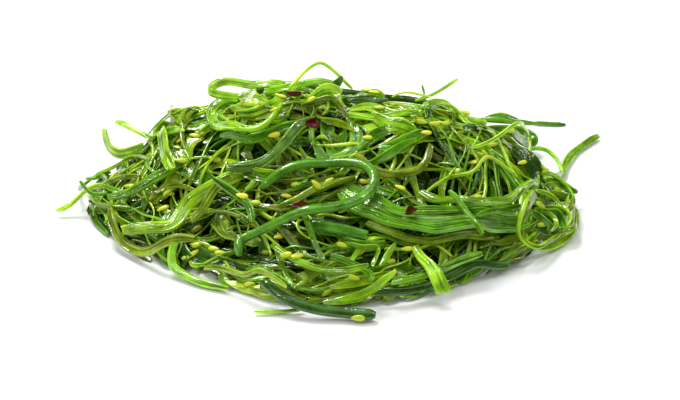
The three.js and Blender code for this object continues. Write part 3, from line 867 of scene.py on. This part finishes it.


# %% [markdown]
# A heap of strips has hollows, and those are the black gaps that make it read as a heap. Some are put
# where they are seen, by pixel, and more are strewn over the rest. The heap's limit is lower there,
# so few strips settle in them, and one that crosses a hollow bridges it. A strip that lies in a
# hollow is also darkened by the hollow's depth, as painted shade. A hollow never takes more than a
# set share of the heap's height.

# %% Hollows
SEEN_HOLLOWS = (
    (222, 232, 8, 7), (300, 224, 7, 7), (340, 222, 6, 6), (412, 178, 7, 6), (309, 131, 5, 5),
    (276, 163, 4, 4), (314, 169, 4, 4), (265, 147, 4, 4), (210, 214, 5, 5), (148, 172, 5, 5),
    (130, 215, 4, 4), (160, 205, 4, 4), (110, 195, 3, 3), (455, 190, 5, 5), (445, 165, 4, 4),
    (500, 190, 4, 4), (545, 215, 4, 4), (420, 262, 5, 5), (330, 283, 5, 4), (255, 262, 5, 4),
    (300, 245, 5, 4),
)
STREWN_HOLLOWS = 70
STREWN_RADIUS, STREWN_DEPTH = (2, 4), (1.5, 3.5)
LEAST_FILLED = 0.6
RAY_SPAN = (0.98 * CAMERA_DISTANCE - 0.1, CAMERA_DISTANCE + 0.15)
RAY_STEP = 0.0002


def first_hit(across, down, surface):
    """Where a pixel's ray first meets a surface that is given as a grid of heights, if it does."""
    origin, ray = (np.array(vector) for vector in pixel_ray(across, down))
    path = (origin + ray * np.arange(*RAY_SPAN, RAY_STEP)[:, None]) / MM
    met = np.flatnonzero((path[:, 2] <= surface[cells(path)]) & (path[:, 2] > 0))
    return Vector(path[met[0]]) if len(met) else None


hollows = [
    (first_hit(across, down, ceiling), radius, depth) for across, down, radius, depth in SEEN_HOLLOWS
]
for _ in range(STREWN_HOLLOWS):
    row, column = (random.choice(size) for size in ceiling.shape)
    place = Vector((grid_x[column], grid_y[row], 0))
    hollows.append((place, random.uniform(*STREWN_RADIUS), random.uniform(*STREWN_DEPTH)))
limit_of_heap = ceiling.copy()
for place, radius, depth in hollows:
    away = (grid_x[None, :] - place.x) ** 2 + (grid_y[:, None] - place.y) ** 2
    limit_of_heap -= depth * np.exp(-away / radius**2)
limit_of_heap = np.maximum(limit_of_heap, LEAST_FILLED * ceiling)
print("hollows:", len(hollows), "deepest", (ceiling - limit_of_heap).max().round(1), "mm")

# %% [markdown]
# The inside is laid first, with few corners and in colours darkened as painted shade, since little
# light gets in. The skin is laid on it, one to three strips at a time, some of them a little arched.
# Last come the fine threads that a shredder leaves on top.

# %% The inside
INNER_DEPTH = 4.0
# Painted shade: the colours of the inside strips are multiplied by this.
INNER_PAINTED_SHADE = 0.4
inner = []
for _ in range(500):
    shells = lay_bundle(
        random.uniform(25, 60), strips=3, limit=limit_of_heap - INNER_DEPTH, press=0.2,
        spacing=2.4, corners=6, light=INNER_PAINTED_SHADE,
    )
    if shells is None:
        break
    inner += shells
print("inside:", len(inner), "strips")

# %% The skin
SKIN_DEPTH = 0.7
SHARES_OF_BUNDLES = (0.5, 0.32, 0.18)
outer = []
for _ in range(1500):
    strips = random.choice((1, 2, 3), p=SHARES_OF_BUNDLES)
    arch = max(0.0, random.normal(-0.3, 0.8))
    shells = lay_bundle(
        random.uniform(18, 60), strips, limit=limit_of_heap - SKIN_DEPTH, press=0.35,
        spacing=1.1, corners=10, arch=arch,
    )
    if shells is None:
        break
    outer += shells
room_left = np.percentile((ceiling - heights)[heaped], (5, 25, 50, 75, 95)).round(1)
print("skin:", len(outer), "strips; room left, mm:", room_left)

# %% The fine threads
FINE_THREADS = 260
THREAD_SHARES = (0.05, 0.2, 0.3, 0.25, 0.2)
THREAD_THICKNESS = 0.45
threads = []
for _ in range(FINE_THREADS):
    row, column = divmod(int(random.choice(np.flatnonzero(heaped))), len(grid_x))
    path = wander(np.array([grid_x[column], grid_y[row]]), random.uniform(12, 38))
    if len(path) < SHORTEST or cramped(path):
        continue
    width = random.uniform(0.45, 1.1)
    line, across = drape(path, width, THREAD_THICKNESS, 0.15, max(0.0, random.normal(0, 0.4)))
    if np.median(line[:, 2] - ceiling[cells(line)]) > MOST_ABOVE:
        continue
    colour = shade(PALETTE[random.choice(len(PALETTE), p=THREAD_SHARES)])
    form = coarse_form("thread", 8)
    threads.append(settled(line, across, width, THREAD_THICKNESS, 1.0, colour, form))
print("fine threads:", len(threads))

# %% Make objects of the tangle
MOST_TRIANGLES = 150000


def count_triangles(shells):
    """The triangles in some shells, with each quad as two."""
    return sum(2 * len(shell[1]) + sum(len(cap) - 2 for cap in shell[2]) for shell in shells)


def tangle_pieces(name, shells):
    """As many objects as keep each one under the limit."""
    parts = math.ceil(count_triangles(shells) / MOST_TRIANGLES)
    for part in range(parts):
        piece = piece_from(f"{name}_{part + 1}", shells[part::parts], wakame_flesh)
        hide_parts("strip_tangle")
    print(name, parts, "objects,", count_triangles(shells), "triangles")


tangle_pieces("tangle_inside", inner)
tangle_pieces("tangle_skin", outer)
tangle_pieces("tangle_threads", threads)

# %% [markdown]
# ## Strands too small for the frame
#
# Thin strands and bits of leaf that show in front. Each row of the table is a kind, a width, a tone
# and a few pixels. Their rays are followed to the heap, and the strand is laid there over the rest.
# Where a ray misses the heap the strand stands free, as far away as its last point. They go under
# the strips that can be told apart, which are laid after them.

# %% Strands placed at given pixels
SEEN_STRANDS = """
strand 1.0 lime 425,199 430,196 447,186 470,175 490,174 515,176
thread 0.55 lime 431,97 420,95 410,92 398,93 392,97
thread 0.6 green 423,112 424,103 424,93 422,85
leaf 3.4 dark 328,91 334,87 339,82 341,76
thread 0.5 lime 290,90 300,94 312,101
thread 0.4 olive 253,130 258,138 262,146
strand 1.6 lime 224,112 219,121 226,127 234,131
blade 3.2 green 357,152 381,139 400,129 415,121
blade 3.4 bright 350,112 376,116 396,119 415,125
blade 2.4 bright 322,121 338,125 353,132
blade 2.4 green 484,119 499,116 519,121
leaf 4.5 lime 222,104 240,101 258,103 272,108
leaf 4.0 bright 232,112 248,114 262,117 276,113
strap 2.6 bright 284,94 272,105 254,114 238,120
leaf 4.6 green 352,98 364,93 376,93 384,99
leaf 4.0 lime 308,104 322,102 334,106 342,113
band 1.8 olive 302,110 316,113 332,116 346,122
strand 1.1 lime 472,149 499,149 516,149 528,152 529,157
strand 1.2 lime 190,262 193,270 205,276
band 1.5 bright 204,268 219,261 234,253
blade 2.4 lime 155,141 170,135 184,132
strand 1.4 bright 114,215 117,223 131,227
band 1.8 olive 239,199 261,207 280,209 300,206
strand 1.3 bright 96,174 107,170 131,163 150,160
blade 2.2 lime 260,172 257,181 251,188 245,193
strand 1.5 bright 275,247 279,260 284,272 292,286
thread 0.6 lime 300,268 318,262 338,252 352,244
band 1.8 green 316,230 330,238 350,246 372,250 384,243
strand 1.2 bright 330,250 345,254 362,252 378,262 372,272
blade 2.6 bright 330,290 352,288 375,284 392,276
strand 1.3 olive 148,196 175,190 196,196 215,206
thread 0.6 bright 456,168 450,178 448,190 447,198
thread 0.7 olive 262,186 285,187 310,177 335,169
strand 1.0 olive 266,196 290,193 318,185 345,177
thread 0.8 lime 280,207 300,201 325,193 350,185
strand 1.1 bright 322,203 338,196 352,186 360,176
strand 1.2 green 300,172 306,180 303,190 292,197
thread 0.7 bright 275,178 296,170 318,168 338,172
thread 0.6 olive 318,208 326,198 338,192 352,192
strand 1.0 olive 190,222 204,214 222,212 240,220
thread 0.7 bright 280,262 298,256 316,262 334,270 352,268
strand 1.1 olive 296,292 312,284 330,276 346,262
strand 1.0 green 246,272 262,270 276,278 290,290
thread 0.8 bright 384,254 400,256 418,252 436,256 452,263
leaf 4.4 dark 290,141 296,146 303,149 310,147
leaf 5.0 bright 372,119 390,127 408,135 420,146
leaf 4.6 green 378,152 395,152 410,145 424,133
strand 1.4 bright 545,186 560,190 570,200 573,212 566,225
strand 1.3 green 546,200 560,207 567,220 560,233 546,240
strand 1.3 lime 536,190 549,198 557,212 552,228
band 1.7 olive 530,232 545,230 560,222 570,208
strand 1.4 green 548,180 562,186 572,196 576,208 573,222 562,234
strand 1.5 olive 552,192 564,198 571,210 568,226 555,238
blade 2.6 green 550,212 560,217 566,226 557,236
band 1.8 olive 540,237 553,239 566,232 575,220
strand 1.3 bright 535,226 548,222 560,214 568,203
strand 1.2 lime 556,205 566,212 570,222 563,232
leaf 5.0 dark 536,208 547,213 558,218 566,222
leaf 5.0 green 534,220 545,225 556,228 565,228
leaf 4.4 dark 534,231 544,235 553,237 561,233
band 2.0 green 532,214 543,221 550,230 548,238
strand 1.2 lime 541,212 552,220 556,229 551,236
leaf 3.6 green 233,170 246,174 258,178 270,184
strand 1.6 bright 228,164 246,170 262,172 278,180
strand 1.4 green 86,178 98,182 112,190 128,196
strand 1.2 bright 88,200 100,206 116,210 130,208
band 1.6 olive 92,190 104,186 120,180 140,176
"""

# A ray over the crown may land far behind it, which doesn't count. A strand whose rays all miss
# stands at the crown's depth.
CROWN_DEPTH = 12
FARTHEST = 25
STRAND_THICKNESS = 0.6


def on_the_heap(pixels):
    """Where the rays of some pixels meet the heap so far, or pass the last point that did."""
    hits = [first_hit(across, down, heights) for across, down in pixels]
    hits = [hit if hit and hit.y < FARTHEST else None for hit in hits]
    depth = next((hit.y for hit in hits if hit), CROWN_DEPTH)
    places = []
    for (across, down), hit in zip(pixels, hits):
        if hit is None:
            origin, ray = pixel_ray(across, down)
            hit = (origin + ray * ((depth * MM - origin.y) / ray.y)) / MM
        depth = hit.y
        places.append(hit)
    return np.array(places)


seen = []
for row in SEEN_STRANDS.strip().splitlines():
    kind, width, colour, *pairs = row.split()
    width, colour, pixels = float(width), TONES[colour], pixels_in(pairs)
    free, _, _ = curve_through(on_the_heap(pixels), STEP)
    line, across = drape(free[:, :2], width, STRAND_THICKNESS, 0.1)
    line[:, 2] = eased(np.maximum(line[:, 2], free[:, 2]), 4)
    form = dict(FORMS[kind], facing=FACING)
    seen.append(settled(line, across, width, STRAND_THICKNESS, FINE_STEP, shade(colour), form))
piece_from("strands_in_front", seen, wakame_flesh)
print("strands in front:", len(seen), "with", count_triangles(seen), "triangles")

# %% [markdown]
# Now the strips that can be told apart. Each keeps its solid's width and thickness, or is a little
# wider where the real one is. A few run on past their solids, so that they end inside the heap.
# They follow their solids and not the strips under them, so some hang about a millimetre clear.

# %% Make the strips that can be told apart
ROUNDS = 12
ROUNDS_OF_KIND = {"stem": 40, "thread": 3, "strand": 6}
RUN_ON = {
    "crown_thin_loop": 4, "right_lime_arch": 2, "right_top_thread": 1, "left_raised_stick": 1.4,
}
WIDER = {"crown_top_loop": 1.3, "front_flat_strip": 1.2}
SLIGHT = 0.05


def run_on(line, over, length):
    """Carries both ends of a strip on into the heap, the way they already point."""
    for _ in range(int(length / FINE_STEP)):
        line = np.concatenate([[2 * line[0] - line[1]], line, [2 * line[-1] - line[-2]]])
        over = np.concatenate([over[:1], over, over[-1:]])
    return line, over


named_triangles = 0
for node in frame["nodes"]:
    if slot_of[node] not in FORMS:
        continue
    kind = slot_of[node]
    middles, across, widths, thicknesses = strip_frames(node)
    line, at, knots = curve_through(middles, FINE_STEP)
    line[:, :2] = eased(line[:, :2], 6)
    line[:, 2] = eased(line[:, 2], ROUNDS_OF_KIND.get(kind, ROUNDS))
    over = spread(across, knots, at)
    line, over = run_on(line, over, RUN_ON.get(node, 0))
    full = np.full(len(line), np.median(widths) * WIDER.get(node, 1))
    colour = shade(colour_of_strip.get(node, COLOUR_OF_KIND[kind]), SLIGHT)
    form = {**FORMS[kind], "facing": FACING, **FORM_OF_STRIP.get(node, {})}
    shell = loft(line, over, full, np.median(thicknesses), colour, form)
    material = wakame_stem if kind == "stem" else wakame_flesh
    piece = piece_from(node + "_strip", [shell], material)
    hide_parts(node)
    heap_up(line, over, np.median(widths), np.median(thicknesses))
    named_triangles += count_triangles([shell])
print("named strips:", named_triangles, "triangles")

# %% [markdown]
# ## Chili and sesame
#
# A chili flake is a bit of dried skin: dark red, glossy, curled where it dried, with a torn outline.
# It is lofted like a very short strip of leaf.

# %% Chili flakes
CHIP = dict(
    PLAIN, corners=14, curl=0.5, ruffle=0.2, ruffle_period=3.0, uneven=0.3, ends=0.3, taper=0.8,
    slant=0.8,
)
CHILI_RED = "#4a0b04"
COLOUR_OF_FLAKE = {"chili_flake_right": "#3d1a08"}
FLAKE_LENGTH, FLAKE_WIDTH, FLAKE_THICKNESS = 4.0, 2.4, 0.4
FLAKE_ARCH, FLAKE_TILT = 0.12, 0.35
WRINKLES_PER_METRE = 900.0
UP = np.array([0, 0, 1.0])
chili_skin = new_material("dried_chili_skin")
tree = chili_skin.node_tree
colour = add(tree, "Attribute", dict(attribute_name="strip_colour")).outputs["Color"]
spot = add(tree, "TexCoord").outputs["Object"]
wrinkles = add(tree, "TexNoise", Vector=spot, Scale=WRINKLES_PER_METRE, Detail=3.0)
bump = add(tree, "Bump", Strength=0.5, Distance=0.2 * MM, Height=wrinkles.outputs["Fac"])
shader = add(
    tree, "BsdfPrincipled", Base_Color=colour, Roughness=0.35, Specular_IOR_Level=0.04,
    Subsurface_Weight=0.2, Subsurface_Radius=(1.0, 0.2, 0.1), Subsurface_Scale=0.5 * MM,
    Coat_Weight=0.3, Coat_Roughness=0.03,
    Normal=bump.outputs["Normal"],
)
add(tree, "OutputMaterial", Surface=shader.outputs["BSDF"])


def chip(middle, along, colour):
    """A curled flake that is a little tilted, so that it shows from the table's edge."""
    ahead = unit(np.array(along, dtype=float))
    t = np.linspace(-0.5, 0.5, 10)
    arched = UP * (0.25 - t**2)[:, None] * FLAKE_ARCH * FLAKE_LENGTH
    line = middle + ahead * (t * FLAKE_LENGTH)[:, None] + arched
    side = unit(np.cross(UP, ahead))
    side = side * math.cos(FLAKE_TILT) + UP * math.sin(FLAKE_TILT) * np.sign(side[1])
    over = np.broadcast_to(side, line.shape)
    return loft(line, over, FLAKE_WIDTH, FLAKE_THICKNESS, np.array(linear(colour)), CHIP)


flakes = [node for node in frame["nodes"] if slot_of[node] == "chili"]
for node in flakes:
    corners = np.array([corner.co for corner in frame["nodes"][node].data.vertices]) / MM
    middle = corners.mean(0)
    spreads, axes = np.linalg.eigh(np.cov((corners - middle)[:, :2].T))
    along = (*axes[:, -1], 0.0)
    flake = chip(middle, along, COLOUR_OF_FLAKE.get(node, CHILI_RED))
    piece = piece_from(node + "_chip", [flake], chili_skin)
    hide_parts(node)
print("chili flakes:", len(flakes))

# %% [markdown]
# The seeds are all copies of one shape, a flattened sphere drawn to a point, with few faces because
# there are over a hundred. Each is set where a ray through its pixel meets the finished strips, and
# more are strewn over the back.

# %% The shape of a seed
SEEN_SEEDS = """
215,159 196,230 219,241 229,240 214,249 220,253 195,253 187,258 198,245 286,196 297,185 316,185
329,181 364,182 400,188 426,217 431,236 342,245 361,252 407,249 320,222 272,237 279,237 286,255
297,257 267,253 241,190 242,196 255,203 389,262 327,293 358,318 357,307 354,278 250,284 479,183
478,197 473,163 485,154 542,225 556,229 533,241 522,163 557,190 541,206 470,214 359,122 367,138
421,122 426,133 434,124 445,124 311,100 464,113 493,145 509,131 455,172 274,135 195,136 181,140
153,187 169,193 163,209 157,250 181,161
"""
SEEDS_BEHIND = 70
HIGHEST_SEED = 5
SEED_LENGTH, SEED_WIDTH, SEED_THICKNESS = 3.3, 1.5, 0.8
SEED_NARROWING = 0.3
SEED_SUNK = 0.15
SEED_TURN = 0.45
bpy.ops.object.select_all(action="DESELECT")
bpy.ops.mesh.primitive_uv_sphere_add(segments=10, ring_count=6, radius=1)
model = bpy.context.object
ball = np.array([corner.co for corner in model.data.vertices])
seed_faces = [list(face.vertices) for face in model.data.polygons]
bpy.data.objects.remove(model)
narrowing = 1 - SEED_NARROWING * ball[:, 2]
seed_shape = np.column_stack([
    ball[:, 2] * SEED_LENGTH / 2,
    ball[:, 0] * narrowing * SEED_WIDTH / 2,
    ball[:, 1] * narrowing * SEED_THICKNESS / 2,
])
print("a seed:", len(seed_faces), "faces")

# %% Set the seeds
bpy.context.view_layer.update()
depsgraph = bpy.context.evaluated_depsgraph_get()
rays = [pixel_ray(across, down) for across, down in pixels_in(SEEN_SEEDS.split())]
for _ in range(SEEDS_BEHIND):
    angle = random.uniform(0, math.pi)
    reach = edge_at(np.array([angle]))[0] * math.sqrt(random.uniform(0.02, 0.9))
    above = Vector((reach * math.cos(angle) * MM, reach * math.sin(angle) * MM, ABOVE_ALL))
    rays.append((above, Vector((0, 0, -1))))
seed_points, seed_polygons, seed_tones = [], [], []
for origin, ray in rays:
    hit, place, normal, _, thing, _ = bpy.context.scene.ray_cast(depsgraph, origin, ray)
    if not hit or thing.name == floor.name:
        continue
    if place.z / MM > ceiling[cells(np.array(place) / MM)] + HIGHEST_SEED:
        continue
    out = unit(np.array(normal) + (0, 0, 0.6) - 0.5 * np.array(ray))
    turn = random.normal(0, SEED_TURN)
    ahead = np.array((math.cos(turn), math.sin(turn), 0.0)) * random.choice((-1, 1))
    ahead = unit(ahead - out * (ahead @ out))
    side = np.cross(out, ahead)
    centre = np.array(place) / MM + out * (SEED_THICKNESS / 2 - SEED_SUNK)
    start = len(seed_points) * len(seed_shape)
    size = random.uniform(0.85, 1.1)
    seed_points.append(centre + size * seed_shape @ np.stack([ahead, side, out]))
    seed_polygons += [[corner + start for corner in face] for face in seed_faces]
    seed_tones.append(np.full(len(seed_shape), random.uniform(0, 1)))
mesh = bpy.data.meshes.new("sesame_seeds")
mesh.from_pydata((np.concatenate(seed_points) * MM).tolist(), [], seed_polygons)
tone = mesh.attributes.new("seed_tone", "FLOAT", "POINT")
tone.data.foreach_set("value", np.concatenate(seed_tones).astype(np.float32))
mesh.polygons.foreach_set("use_smooth", [True] * len(mesh.polygons))
seeds = bpy.data.objects.new("sesame_seeds", mesh)
bpy.context.scene.collection.objects.link(seeds)
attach(seeds, "root")

seed_coat = new_material("sesame_seed_in_dressing")
tree = seed_coat.node_tree
tone = add(tree, "Attribute", dict(attribute_name="seed_tone")).outputs["Fac"]
tint = add(tree, "Mix", dict(data_type="RGBA"), _0=tone, _6=linear("#ecf02c"), _7=linear("#bfd824"))
shader = add(
    tree, "BsdfPrincipled", Base_Color=tint.outputs[2], Roughness=0.35, Subsurface_Weight=0.2,
    Subsurface_Radius=(0.8, 0.8, 0.3), Subsurface_Scale=0.5 * MM,
    Coat_Weight=0.5, Coat_Roughness=0.08,
)
add(tree, "OutputMaterial", Surface=shader.outputs["BSDF"])
mesh.materials.append(seed_coat)
print("sesame seeds:", len(seed_points))
